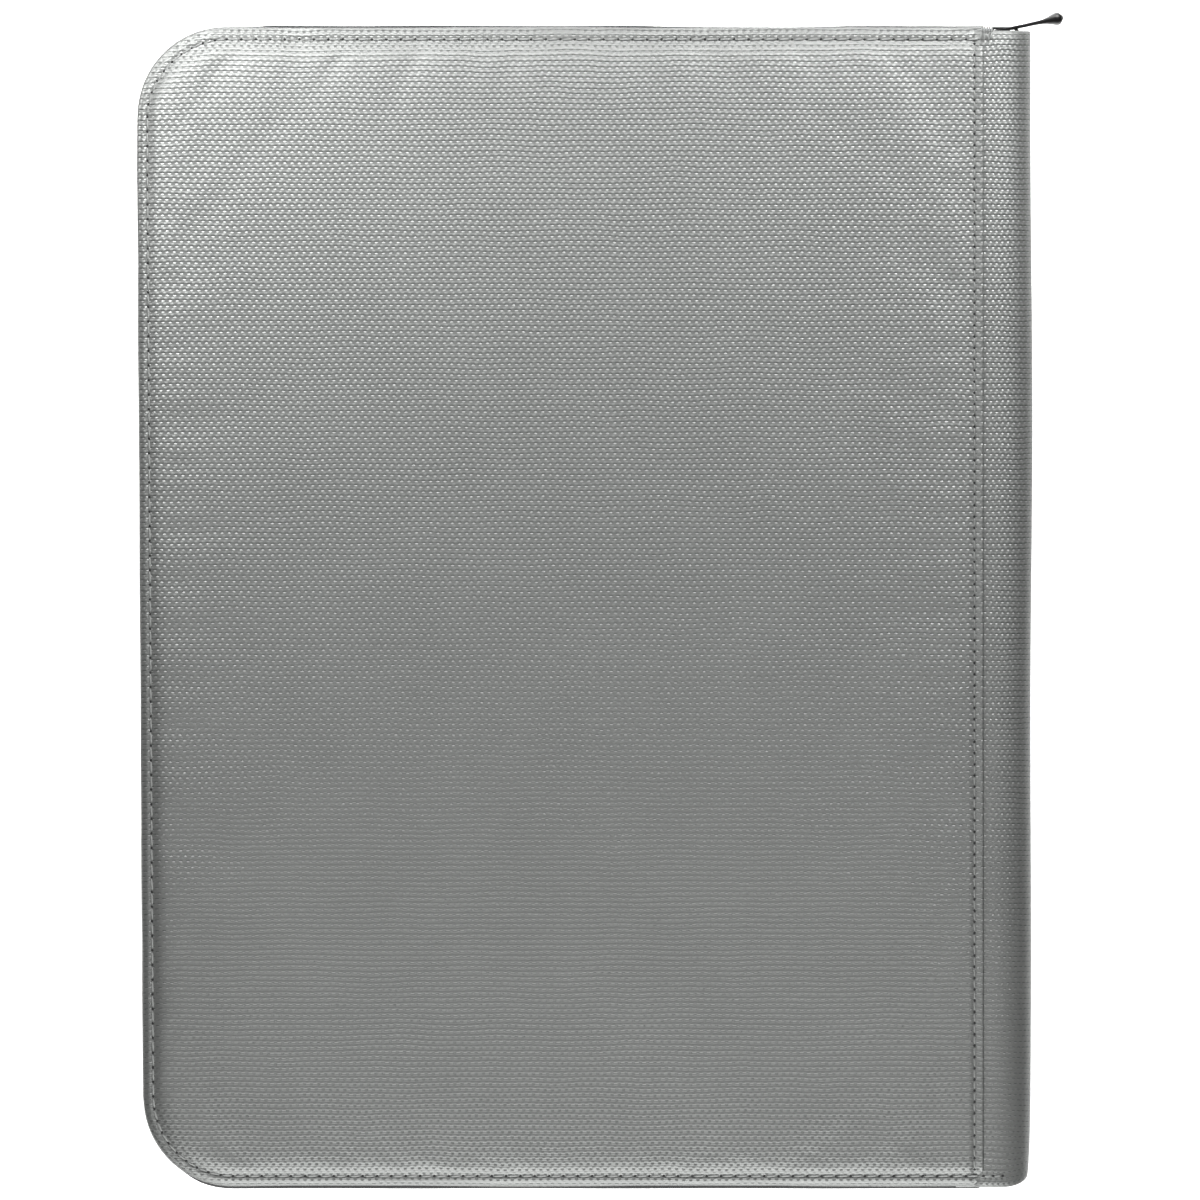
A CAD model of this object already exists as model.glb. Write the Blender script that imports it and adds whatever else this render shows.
"""Looks of the zip-round card binder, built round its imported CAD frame.

Lengths are in millimetres until a mesh is made.
"""

import math

import bmesh
import bpy
import numpy as np
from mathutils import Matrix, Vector


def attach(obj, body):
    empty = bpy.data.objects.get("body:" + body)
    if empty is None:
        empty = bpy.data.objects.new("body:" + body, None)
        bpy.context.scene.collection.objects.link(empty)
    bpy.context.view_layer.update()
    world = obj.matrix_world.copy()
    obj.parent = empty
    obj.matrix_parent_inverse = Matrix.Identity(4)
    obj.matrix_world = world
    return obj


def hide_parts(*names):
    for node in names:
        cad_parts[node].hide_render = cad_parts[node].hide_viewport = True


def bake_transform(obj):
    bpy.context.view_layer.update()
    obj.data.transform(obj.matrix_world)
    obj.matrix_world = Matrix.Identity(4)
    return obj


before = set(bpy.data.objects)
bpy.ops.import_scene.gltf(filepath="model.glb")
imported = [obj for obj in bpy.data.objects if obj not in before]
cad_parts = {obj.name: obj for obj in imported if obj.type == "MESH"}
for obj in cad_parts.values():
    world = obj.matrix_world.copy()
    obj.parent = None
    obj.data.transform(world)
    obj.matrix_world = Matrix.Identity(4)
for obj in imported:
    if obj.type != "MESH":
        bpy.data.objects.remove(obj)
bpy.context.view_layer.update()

MM = 0.001

# ---------- sizes shared with the CAD ----------
WIDTH, HEIGHT, THICK = 270.0, 350.0, 44.0
HALF_H = HEIGHT / 2
SPINE_X = WIDTH / 2
FORE_X = -WIDTH / 2
MID_Z = THICK / 2
CORNER_R = 27.0
CLOTH_T = 0.8
COVER_T = 6.0
SEAM_X = SPINE_X - 14.8
LAP_X = SEAM_X - 8
COVER_RIGHT = SPINE_X - 7.5
STRIP_HALF_Y = HALF_H - 1
STITCH_INSET = 3.0
SEAM_STITCH_X = SEAM_X - 2.4
TAPE_INSET = 4.8
TAPE_T = 0.7
COIL_GAP = 0.65
COIL_W = 2.2
COIL_T = 1.8
TAPE_END_X = SPINE_X - 1.1
COIL_END_X = TAPE_END_X - 0.8
WALL_Y = HALF_H - TAPE_INSET
SLIDER_L, SLIDER_W = 11.0, 9.2
SLIDER_X = COIL_END_X - 0.1 - SLIDER_L
PLATE_T = 1.0
OUTER_PLATE_Y = WALL_Y + COIL_T + 0.3
INNER_PLATE_Y = WALL_Y - TAPE_T - 0.3 - PLATE_T
BAR_X = SPINE_X - 6.6
LEAF_X = BAR_X - 0.6
LEAF_COUNT = 20
LEAF_PITCH = 1.45
MARGIN_W = 17.9
POCKET_W, POCKET_H, WELD_W = 68.0, 93.0, 3.0
LEAF_T = 1.24
MARGIN_T = 0.3

# ---------- the turned edge ----------
BAND = 9.0            # width of the edge band that is meshed along the outline
STEP = 1.5            # mesh spacing of the covers

# Section of the turned edge: inset from the edge, and depth below the face of the panel
RIM = np.array([
    (BAND, 0.0), (8.0, 0.0), (7.0, -0.02), (6.2, -0.07), (5.5, -0.15), (4.9, -0.28), (4.3, -0.48),
    (3.8, -0.66), (3.4, -0.82), (3.1, -0.9), (2.9, -0.91), (2.65, -0.87), (2.3, -0.81),
    (1.9, -0.83), (1.5, -0.95), (1.1, -1.16), (0.7, -1.46), (0.35, -1.84), (0.1, -2.28),
    (0.0, -2.75), (0.1, -3.5), (0.4, -4.15), (0.9, -4.6), (1.6, -4.85), (2.5, -4.95),
    (3.4, -5.0), (4.2, -5.0), (4.45, -4.8), (4.45, -4.4)
])
RIM_TOP = 20          # the points of RIM that face outwards
RIM_WAVE, RIM_WAVE_LONG = 0.25, 17.0
HEM_DEPTH = -5.0


def smooth(t):
    t = np.clip(t, 0, 1)
    return t * t * (3 - 2 * t)


def ramp(value, start, end):
    """Rises smoothly from 0 at start to 1 at end, which may lie on either side of it."""
    return smooth((value - start) / (end - start))


def hump(value, half_width):
    """A smooth hump of height 1 round the value 0."""
    return np.exp(-(value / half_width) ** 2)


def inset_of(x, y):
    """Distance from the outline of a cover, whose spine side doesn't count."""
    ax, ay = FORE_X + CORNER_R - x, np.abs(y) - (HALF_H - CORNER_R)
    corner = CORNER_R - np.hypot(np.maximum(ax, 0), np.maximum(ay, 0))
    straight = np.minimum(x - FORE_X, HALF_H - np.abs(y))
    return np.where((ax > 0) & (ay > 0), corner, straight)


def rounded_rows(inset, step):
    """Heights of mesh rows, evenly spaced along the fore edge, and the outline's left end at each."""
    r = CORNER_R - inset
    top = HALF_H - inset
    arc = np.linspace(0, math.pi / 2, max(6, round(r * math.pi / 2 / step)) + 1)
    flat = np.linspace(-(top - r), top - r, round(2 * (top - r) / step) + 1)
    y = np.concatenate([-(top - r) - r * np.sin(arc[:0:-1]), flat, top - r + r * np.sin(arc[1:])])
    x = np.concatenate([-r * np.cos(arc[:0:-1]), np.full(len(flat), -r), -r * np.cos(arc[1:])])
    return y, x + FORE_X + inset + r


# ---------- meshes ----------
def make(name, points, faces, materials, uv=None, marks=None):
    """A smooth-shaded mesh object from points in millimetres; marks number each face's material."""
    mesh = bpy.data.meshes.new(name)
    mesh.from_pydata((np.asarray(points, float) * MM).tolist(), [], faces)
    if uv is not None:
        layer = mesh.uv_layers.new(name="Cloth")
        loops = np.empty(len(mesh.loops), np.int64)
        mesh.loops.foreach_get("vertex_index", loops)
        layer.data.foreach_set("uv", np.asarray(uv, np.float32)[loops].ravel())
    for material in materials:
        mesh.materials.append(material)
    if marks is not None:
        mesh.polygons.foreach_set("material_index", marks)
    mesh.polygons.foreach_set("use_smooth", [True] * len(faces))
    mesh.update()
    obj = bpy.data.objects.new(name, mesh)
    bpy.context.scene.collection.objects.link(obj)
    return obj


def make_merged(name, parts, materials):
    """One object from (points, faces, material number) parts."""
    points, faces, marks, start = [], [], [], 0
    for part_points, part_faces, mark in parts:
        points.append(np.asarray(part_points, float))
        faces.extend([[start + v for v in face] for face in part_faces])
        marks.extend([mark] * len(part_faces))
        start += len(part_points)
    return make(name, np.concatenate(points), faces, materials, marks=marks)


def quads(index, flip=False):
    """The four-sided faces of a grid of point numbers."""
    corners = [index[:-1, :-1], index[:-1, 1:], index[1:, 1:], index[1:, :-1]]
    return np.stack(corners[::-1] if flip else corners, -1).reshape(-1, 4)


def tube_faces(rings, sides):
    """Faces of a closed tube whose points are numbered ring by ring."""
    index = np.arange(rings * sides).reshape(rings, sides)
    faces = quads(np.concatenate([index, index[:, :1]], 1)).tolist()
    return faces + [index[0][::-1].tolist(), index[-1].tolist()]


class Patchwork:
    """Grids of points that share their edges."""

    def __init__(self):
        self.points, self.uv, self.faces, self.count = [], [], [], 0

    def add(self, points, uv):
        points = np.asarray(points, float)
        shape = points.shape[:-1]
        index = np.arange(self.count, self.count + int(np.prod(shape))).reshape(shape)
        self.count += index.size
        self.points.append(points.reshape(-1, 3))
        self.uv.append(np.broadcast_to(np.asarray(uv, float), shape + (2,)).reshape(-1, 2))
        return index

    def span(self, index, flip=False):
        self.faces.append(quads(index, flip))

    def all_points(self):
        return np.concatenate(self.points)

    def build(self, name, materials, side=1):
        faces = np.concatenate(self.faces)
        if side < 0:
            faces = faces[:, ::-1]
        return make(name, self.all_points(), faces.tolist(), materials, np.concatenate(self.uv))


# ---------- places on a cover ----------
LEAN = 1.9                      # how far the tail end of the fore edge leans in
LEAN_FROM, LEAN_LONG = 130.0, 300.0


def to_side(rel, side):
    """Height of a point that is rel above the outer face of the back (1) or the front (-1) cover."""
    return THICK + rel if side > 0 else -np.asarray(rel)


def lean(points):
    """The cover isn't cut quite square: its fore edge leans in towards the tail."""
    x, y = points[..., 0], points[..., 1]
    share = ramp(x, SEAM_X, FORE_X) * np.clip((LEAN_FROM - y) / LEAN_LONG, 0, 1)
    out = np.array(points)
    out[..., 0] = x + LEAN * share
    return out


def on_cover(x, y, rel, side):
    """Points of a cover from their x, their y and their height above its outer face."""
    return lean(np.stack([x, y, to_side(rel, side)], -1))


# ---------- padding ----------
PAD_INSET = STITCH_INSET + 1.6
PAD_RIGHT = SEAM_STITCH_X - 1.6
PAD_STEP = 5.0
PAD_DEPTH = 2.4
PAD_GAP = 0.15        # between the padding and the cloth over it
PUFF_CAP = 0.9        # how far the padding may stand above the face of the cover
PUFF_SPREAD = 3.0     # the simulated rise at which the padding has nearly reached that
PUFF_FRAMES = 20


def pad_grid():
    rows, left = rounded_rows(PAD_INSET, PAD_STEP)
    across = np.linspace(0, 1, round((PAD_RIGHT - FORE_X) / PAD_STEP) + 1)
    x = left[:, None] + (PAD_RIGHT - left[:, None]) * across
    y = np.broadcast_to(rows[:, None], x.shape)
    return x, y


def pad_object(name, top, side, material):
    """The foam sheet of a cover: the top grid, the bottom grid and the wall between them."""
    x, y = pad_grid()
    patch = Patchwork()
    upper = patch.add(on_cover(x, y, top - CLOTH_T, side), (0, 0))
    base = np.full(x.shape, -CLOTH_T - PAD_DEPTH)
    lower = patch.add(on_cover(x, y, base, side), (0, 0))
    patch.span(upper)
    patch.span(lower, flip=True)
    for end, turn in ((0, 1), (-1, -1)):
        patch.span(np.stack([lower[end, :], upper[end, :]])[::turn])
        patch.span(np.stack([upper[:, end], lower[:, end]])[::turn])
    return patch.build(name, [material], side), upper


def simulate_puff(obj, free):
    """Lets pressure lift the free points of the pad, and returns how far each point rose."""
    group = obj.vertex_groups.new(name="held")
    held = np.setdiff1d(np.arange(len(obj.data.vertices)), free.ravel())
    group.add(held.tolist(), 1.0, "REPLACE")
    before = np.array([v.co.z for v in obj.data.vertices])
    cloth = obj.modifiers.new("puff", "CLOTH")
    settings = cloth.settings
    settings.quality = 5
    settings.vertex_group_mass = group.name
    settings.use_pressure = True
    settings.uniform_pressure_force = 4
    settings.shrink_min = -0.012
    settings.bending_stiffness = 0.4
    settings.effector_weights.gravity = 0
    cloth.point_cache.frame_end = PUFF_FRAMES
    scene = bpy.context.scene
    for number in range(1, PUFF_FRAMES + 1):
        scene.frame_set(number)
    settled = obj.evaluated_get(bpy.context.evaluated_depsgraph_get())
    after = np.array([v.co.z for v in settled.data.vertices])
    obj.modifiers.remove(cloth)
    scene.frame_set(1)
    return (after - before) / MM


def sample_pad(values, x, y):
    """The pad's values at points of the cover, by their place across each row.

    Past the pad they are those of its edge.
    """
    rows, left = rounded_rows(PAD_INSET, PAD_STEP)
    edge = np.interp(y, rows, left)
    row = np.interp(y, rows, np.arange(len(rows)))
    column = np.clip((x - edge) / (PAD_RIGHT - edge), 0, 1) * (values.shape[1] - 1)
    r0 = np.minimum(row.astype(int), values.shape[0] - 2)
    c0 = np.minimum(column.astype(int), values.shape[1] - 2)
    fr, fc = row - r0, column - c0
    low = values[r0, c0] * (1 - fc) + values[r0, c0 + 1] * fc
    high = values[r0 + 1, c0] * (1 - fc) + values[r0 + 1, c0 + 1] * fc
    return low * (1 - fr) + high * fr


# ---------- relief of the cloth ----------
HEAD_STRETCH = 0.18   # the turned edge is this much wider along the head
HEAD_TURN = 0.8       # share of a corner over which it widens

ROLL = 0.75           # rise of the face from the stitches to the flat of the panel
ROLL_REACH = 6.5
ROLL_END = 40.0
ROLL_START = 0.9      # inset at which the roll has set in
ROLL_AT_TAIL = 0.6    # share of the roll that is left towards the tail
ROLL_HEAD = (90.0, 150.0)

SEAM_GROOVE, SEAM_GROOVE_W = 0.42, 0.8
SEAM_GROOVE_END = 3.0
FULL_FROM_STITCH = 4.0    # the padding shows in full this far from the edge stitches
FULL_FROM_SEAM = 5.0

# Ripples that run from the stitches at the head into the panel: wavelength, height and phase
RIPPLES = [(7.6, 0.03, 0.3), (11.0, 0.06, 1.7), (17.0, 0.09, 4.1), (31.0, 0.12, 2.2)]
RIPPLE_REACH = 13.0
RIPPLE_START = 2.0
RIPPLE_SLANT = 0.45   # how far a ripple moves towards the fore edge for each millimetre down
RIPPLE_MIDDLE = 0.45  # strength at the middle of the head
# What is added at either side: how much, and the places between which it sets in
RIPPLE_FORE = (0.55, 20.0, -50.0)
RIPPLE_SEAM = (0.3, 60.0, 100.0)

STITCH_PITCH = 4.4
PUCKER, PUCKER_W = 0.06, 1.6    # height and half width of the puckers between the stitches
# Slow waves of the whole panel: wavelengths along x and y over 2 pi, and phase
SLOW_WAVE = 0.08
SLOW_WAVES = ((47.0, 61.0, 0.0), (83.0, -39.0, 1.3))


def edge_depth(x, y):
    """Place in the section of the turned edge, which is stretched along the head."""
    stretch = ramp(y, HALF_H - CORNER_R, HALF_H - CORNER_R + HEAD_TURN * CORNER_R)
    return inset_of(x, y) * (1 - HEAD_STRETCH * stretch)


def along_edge(x, y):
    """Rough distance along the outline, used for puckers that run in from the stitches."""
    cx, cy = FORE_X + CORNER_R, HALF_H - CORNER_R
    turn = np.arctan2(np.maximum(np.abs(y) - cy, 0), np.maximum(cx - x, 0) + 1e-9)
    past = np.abs(y) > cy
    head = CORNER_R * 1.57 + np.maximum(x - cx, 0)
    return np.where(past & (x < cx), turn * CORNER_R, np.where(past, head, -np.abs(y)))


def ripple_strength(x):
    sides = sum(gain * ramp(x, start, end) for gain, start, end in (RIPPLE_FORE, RIPPLE_SEAM))
    return RIPPLE_MIDDLE + sides


def softness(side):
    """The padding, the roll and the waves are left out on the cover that lies on the floor."""
    return 1.0 if side > 0 else 0.0


def face_relief(x, y, puff, side):
    """Height of the outer face at points of the panel."""
    soft = softness(side)
    depth = edge_depth(x, y)
    rel = np.interp(depth, RIM[:RIM_TOP, 0][::-1], RIM[:RIM_TOP, 1][::-1])
    rel = rel - SEAM_GROOVE * hump(x - SEAM_STITCH_X, SEAM_GROOVE_W) * smooth(depth / SEAM_GROOVE_END)
    away = np.maximum(depth - STITCH_INSET, 0)
    from_seam = np.maximum(SEAM_STITCH_X - x, 0)
    roll = ROLL * (ROLL_AT_TAIL + (1 - ROLL_AT_TAIL) * ramp(y, *ROLL_HEAD))
    rise = np.exp(-ROLL_END / ROLL_REACH) - np.exp(-away / ROLL_REACH)
    rel = rel + soft * roll * rise * smooth(depth / ROLL_START)
    inner = smooth(away / FULL_FROM_STITCH) * smooth(from_seam / FULL_FROM_SEAM)
    rel = rel + soft * inner * sample_pad(puff, x, y)
    down = HALF_H - STITCH_INSET - y
    fade = np.exp(-np.maximum(down, 0) / RIPPLE_REACH) * smooth(away / RIPPLE_START)
    across = x + RIPPLE_SLANT * down
    wave = sum(high * np.sin(across * 2 * math.pi / long + phase) for long, high, phase in RIPPLES)
    rel = rel + soft * smooth(from_seam / FULL_FROM_SEAM) * fade * ripple_strength(x) * wave
    pucker = np.sin(along_edge(x, y) * 2 * math.pi / STITCH_PITCH)
    rel = rel + PUCKER * hump(depth - STITCH_INSET, PUCKER_W) * pucker
    slow = sum(np.sin(x / along_x + y / along_y + phase) for along_x, along_y, phase in SLOW_WAVES)
    return rel + soft * inner * SLOW_WAVE * slow


# ---------- cloth of a cover ----------
# Distances from the seam of the columns of points beside it
SEAM_COLUMNS = np.array([6.0, 5.0, 4.2, 3.6, 3.1, 2.7, 2.4, 2.1, 1.7, 1.2, 0.7, 0.3, 0.0])
# The folded edge at the seam: from the seam outwards, and down over the strip and back under the panel
SEAM_FOLD = [(0.22, -0.12), (0.36, -0.34), (0.3, -0.58), (0.0, -0.72), (-3.0, -0.74), (-7.5, -0.74)]
FOLD_RUN = 0.4        # cloth between two points of the fold, for its weave
SEAM_CORNER = 0.5     # the corner at the seam stands out this far at the head


def band_directions(flat, tall):
    """Direction from each point of a cover's inner outline straight out to the edge."""
    r = CORNER_R - BAND
    nx = np.minimum(flat - (FORE_X + CORNER_R), 0) / r
    ny = np.sign(tall) * np.clip((np.abs(tall) - (HALF_H - CORNER_R)) / r, 0, 1)
    length = np.hypot(nx, ny)
    return nx / length, ny / length


def edge_band(flat, tall, puff, side):
    """Points and places on the cloth of the band from a cover's inner outline over to the hem."""
    nx, ny = band_directions(flat, tall)
    inset = RIM[1:, 0][:, None]
    number = np.arange(1, len(RIM))[:, None]
    run = np.cumsum(np.hypot(*np.diff(RIM, axis=0).T))[:, None]
    px, py = flat + nx * (BAND - inset), tall + ny * (BAND - inset)
    facing = (inset > 0) & (number < RIM_TOP)
    rel = np.where(facing, face_relief(px, py, puff, side), RIM[1:, 1][:, None])
    bump = RIM_WAVE * np.sin(along_edge(flat, tall) / RIM_WAVE_LONG) * np.sin(math.pi * number / len(RIM))
    bump = np.where(facing, 0, bump * softness(side))
    px, py = px + nx * bump, py + ny * bump
    uv = np.stack([flat + nx * run, tall + ny * run], -1)
    corner = ramp(px, SEAM_X - 4, SEAM_X) * ramp(py, HALF_H - 4, HALF_H - 1)
    return on_cover(px, py + SEAM_CORNER * corner, rel, side), uv


def cover_object(name, side, puff, material):
    """Cloth of one cover: the panel, the band that turns over to the hem, and the folded seam edge."""
    patch = Patchwork()
    rows, left = rounded_rows(BAND, STEP)
    fine = SEAM_X - SEAM_COLUMNS
    count = round((fine[0] - FORE_X - BAND) / STEP)
    across = np.linspace(0, 1, count, endpoint=False)
    x = np.concatenate([
        left[:, None] + (fine[0] - left[:, None]) * across,
        np.broadcast_to(fine, (len(rows), len(fine)))], 1)
    y = np.broadcast_to(rows[:, None], x.shape)
    panel = patch.add(on_cover(x, y, face_relief(x, y, puff, side), side), np.stack([x, y], -1))
    patch.span(panel)

    def outline(grid):
        return np.concatenate([grid[-1, ::-1], grid[-2:0:-1, 0], grid[0, :]])

    band = patch.add(*edge_band(outline(x), outline(y), puff, side))
    ring = np.concatenate([outline(panel)[None], band])
    patch.span(ring, flip=True)
    column = np.concatenate([ring[:RIM_TOP, -1][::-1], panel[1:-1, -1], ring[:RIM_TOP, 0]])
    edge = patch.all_points()[column]
    sunk = edge[None] + np.array([(dx, 0, side * dz) for dx, dz in SEAM_FOLD])[:, None, :]
    back = np.broadcast_to(edge[None, :, :2], sunk.shape[:2] + (2,)).copy()
    back[..., 0] += np.arange(1, len(SEAM_FOLD) + 1)[:, None] * FOLD_RUN
    under = patch.add(sunk, back)
    patch.span(np.concatenate([column[None], under]), flip=True)
    return patch.build(name, [material], side)


# ---------- stitches ----------
CORNER_PITCH = 3.6
SEAM_PITCH = 3.4
THREAD_R, SEAM_THREAD_R, HEM_THREAD_R = 0.3, 0.26, 0.28
THREAD_SLANT, THREAD_RISE = 0.1, 0.14
HOLE_R, HOLE_HALF = 0.36, 0.42
HOLE_SLANT, HOLE_RISE = 0.12, 0.1
HEM_GAP = 0.1         # share of the hem's stitches that is left open at each end
LONGEST_STITCH = 9.0
STITCH_END = 0.6      # from the last edge stitch to the seam
SEAM_END = 2.0        # from the edge stitches to the ends of the seam's row
# The edge row runs on over the strip at the tail
RUN_ON_COUNT, RUN_ON_FROM, RUN_ON_PITCH = 3, 0.3, 2.9

# Bar tack over the head end of the seam: its loops, and the points of one loop from its low end
TACK_COUNT, TACK_PITCH, TACK_R = 5, 0.75, 0.34
TACK_LEFT = 2.0
TACK_LOOP = np.array([(0.0, -4.0, -0.62), (0.35, -1.6, -0.45), (0.5, -0.1, -1.0), (0.6, -0.2, -2.1)])
TACK_SWAY = ((0.5, 2.3), (0.4, 1.7))
TACK_UP = 0.3


def capsule(start, end, radius, up, squeeze=1.0, rings=5, sides=7):
    """Points and faces of a round-ended thread that lies on a face whose outward direction is up."""
    start, end, up = (np.asarray(v, float) for v in (start, end, up))
    line = end - start
    length = np.linalg.norm(line)
    line = line / length
    across = np.cross(up, line)
    across = across / np.linalg.norm(across)
    lift = np.cross(line, across)
    t = np.linspace(0, 1, rings)
    swell = np.sqrt(np.clip(1 - (2 * t - 1) ** 4, 0.04, 1)) * radius
    angle = np.linspace(0, 2 * math.pi, sides, endpoint=False)
    round_part = np.cos(angle)[:, None] * across + squeeze * np.sin(angle)[:, None] * lift
    points = start + (t * length)[:, None, None] * line + swell[:, None, None] * round_part[None]
    return points.reshape(-1, 3), tube_faces(rings, sides)


def edge_walk(right):
    """Evenly spaced stitch points from the head, round the fore edge, to the tail."""
    x0, y0 = FORE_X + CORNER_R, HALF_H - CORNER_R
    count = round((right - x0) / STITCH_PITCH)
    turn = round((CORNER_R - STITCH_INSET) * math.pi / 2 / CORNER_PITCH)
    side = round(2 * y0 / STITCH_PITCH)

    def corner(first, centre_y):
        angles = [math.pi * (first + i / turn / 2) for i in range(turn)]
        return [(x0 + CORNER_R * math.cos(a), centre_y + CORNER_R * math.sin(a)) for a in angles]

    edge = [(right + (x0 - right) * i / count, HALF_H) for i in range(count)]
    edge += corner(0.5, y0)
    edge += [(FORE_X, y0 - 2 * y0 * i / side) for i in range(side)]
    edge += corner(1.0, -y0)
    edge += [(x0 + (right - x0) * i / count, -HALF_H) for i in range(count + 1)]
    x, y = np.array(edge).T
    # Straight in from the outline, and a little further along the head
    inward_x, inward_y = np.maximum(x0 - x, 0), np.maximum(np.abs(y) - y0, 0)
    length = np.hypot(inward_x, inward_y)
    near = x + 0.01 * inward_x, y * 0.999
    inset = STITCH_INSET * inset_of(*near) / edge_depth(*near)
    return np.stack([x + inset * inward_x / length, y - np.sign(y) * inset * inward_y / length], -1)


def directions(step):
    """Unit vectors along a stitch and across it."""
    line = step / np.linalg.norm(step)
    return line, np.array([-line[1], line[0], 0])


def stitch_parts(x, y, height, side, thread_r=THREAD_R):
    """Threads between the points, and a dark needle hole at each point."""
    up = np.array([0, 0, side])
    parts = []
    placed = on_cover(x, y, height, side)
    for a, b in zip(placed[:-1], placed[1:]):
        line, across = directions(b - a)
        start = a + HOLE_HALF * line - THREAD_SLANT * across + THREAD_RISE * up
        end = b - HOLE_HALF * line + THREAD_SLANT * across + THREAD_RISE * up
        parts.append((*capsule(start, end, thread_r, up), 0))
    for a, b in zip(placed, np.roll(placed, -1, 0)):
        is_stitch = np.linalg.norm(b - a) < LONGEST_STITCH
        line, across = directions(b - a if is_stitch else np.array([1.0, 0, 0]))
        half = HOLE_HALF * line + HOLE_SLANT * across
        centre = a + HOLE_RISE * up
        parts.append((*capsule(centre - half, centre + half, HOLE_R, up, 0.5, 4, 8), 1))
    return parts


def edge_stitches(name, side, puff, materials):
    x, y = edge_walk(SEAM_X - STITCH_END).T
    parts = stitch_parts(x, y, face_relief(x, y, puff, side), side)
    placed = on_cover(x, y, np.full(len(x), HEM_DEPTH), side)
    for a, b in zip(placed[:-1], placed[1:]):
        gap = (b - a) * HEM_GAP
        parts.append((*capsule(a + gap, b - gap, HEM_THREAD_R, (0, 0, -side)), 0))
    return make_merged(name, parts, materials)


def tack_parts(side):
    parts = []
    for number in range(TACK_COUNT):
        loop = TACK_LOOP + (PINCH_X - TACK_LEFT + TACK_PITCH * number, HALF_H, 0)
        loop[0, :2] += [reach * math.sin(number * turn) for reach, turn in TACK_SWAY]
        loop[:, 2] = to_side(loop[:, 2], side)
        for a, b in zip(loop[:-1], loop[1:]):
            parts.append((*capsule(a, b, TACK_R, (TACK_UP, TACK_UP, side), 1, 4, 6), 0))
    return parts


def seam_stitches(name, side, puff, materials):
    end = HALF_H - STITCH_INSET - SEAM_END
    y = np.linspace(end, -end, round(2 * end / SEAM_PITCH) + 1)
    x = np.full(len(y), SEAM_STITCH_X)
    parts = stitch_parts(x, y, face_relief(x, y, puff, side), side, SEAM_THREAD_R)
    x = SEAM_X + RUN_ON_FROM + RUN_ON_PITCH * np.arange(RUN_ON_COUNT)
    y = np.full(RUN_ON_COUNT, STITCH_INSET - HALF_H)
    parts += stitch_parts(x, y, -CLOTH_T - strip_drop(x), side, SEAM_THREAD_R)
    return make_merged(name, parts + tack_parts(side), materials)


# ---------- strip round the spine ----------
STRIP_FROM = SEAM_X + 0.3                 # where the strip starts to turn down
STRIP_ACROSS = SPINE_X - STRIP_FROM       # half axes of the turn, which is a quarter of an ellipse
STRIP_DOWN = 7.0
STRIP_STEP, STRIP_ROW_STEP = 0.8, 1.6
STRIP_CUT = 1.24      # the strip's cloth is drawn together across the spine, so its floats lie closer
# The turned ends: distance from the end, and depth
STRIP_END = ((0.3, 0.1), (0.12, 0.32), (0.0, 0.7))
STRIP_TURNED = (0.6, 7.0)                 # the turned-in cloth lies between these distances
TURNED_RUN = 5.0                          # and its weave goes on from here

SPINE_BOW = 0.45
TUCK, TUCK_LONG = 0.6, 26.0               # the spine draws in over this length at the tail
TAIL_CORNER_X, TAIL_CORNER_Y = 8.7, 3.9   # the strip's rounded corner at the tail
TAIL_REACH = 1.4                          # the strip reaches this much further at the tail than at the head
TAIL_TURN = (15.0, 1.0)                   # and does so between these distances from the tail
PINCH_X = SEAM_X + 1.4                    # the bar tack draws the cloth together here
LUMP = 0.7
DENT, DENT_IN, DENT_DOWN = 0.4, 4.3, 2.7
HEM_LINE, HEM_LINE_IN = 0.16, 3.2         # the line where the turned-in cloth ends
FLAP_DIP = 1.3                            # the strip dips out of the way under the ends of the cover


def strip_drop(x):
    """How far the strip has turned down at x."""
    share = np.clip((np.asarray(x, float) - STRIP_FROM) / STRIP_ACROSS, 0, 1)
    return STRIP_DOWN * (1 - np.sqrt(1 - share ** 2))


def strip_path():
    """Section of the back half of the strip, from under the cover cloth to the middle of the spine.

    It is given as x and z, with the outward direction at each point.
    """
    top = THICK - CLOTH_T
    flat = np.linspace(LAP_X, STRIP_FROM, round((STRIP_FROM - LAP_X) / STRIP_STEP))
    turn = np.linspace(0, math.pi / 2, 30)[1:]
    low = top - STRIP_DOWN
    down = np.linspace(low, MID_Z, round((low - MID_Z) / STRIP_STEP) + 1)[1:]
    out = np.hypot(np.sin(turn) * STRIP_DOWN, np.cos(turn) * STRIP_ACROSS)
    x = np.concatenate([flat, STRIP_FROM + STRIP_ACROSS * np.sin(turn), np.full(len(down), SPINE_X)])
    z = np.concatenate([np.full(len(flat), top), top - STRIP_DOWN * (1 - np.cos(turn)), down])
    nx = np.concatenate([np.zeros(len(flat)), np.sin(turn) * STRIP_DOWN / out, np.ones(len(down))])
    nz = np.concatenate([np.ones(len(flat)), np.cos(turn) * STRIP_ACROSS / out, np.zeros(len(down))])
    return x, z, nx, nz


def strip_levels(depth):
    """The strip's rows from tail to head: height, depth below its face, and place on the cloth."""
    y = np.linspace(-STRIP_HALF_Y, STRIP_HALF_Y, round(2 * STRIP_HALF_Y / STRIP_ROW_STEP) + 1)
    turned = [(STRIP_HALF_Y - inward, sink, STRIP_HALF_Y + sink) for inward, sink in STRIP_END]
    turned += [(STRIP_HALF_Y - inward, depth, STRIP_HALF_Y - inward + TURNED_RUN) for inward in STRIP_TURNED]
    tail = [(-level, sink, -run) for level, sink, run in turned[::-1]]
    return tail + [(level, 0, level) for level in y[1:-1]] + turned


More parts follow.
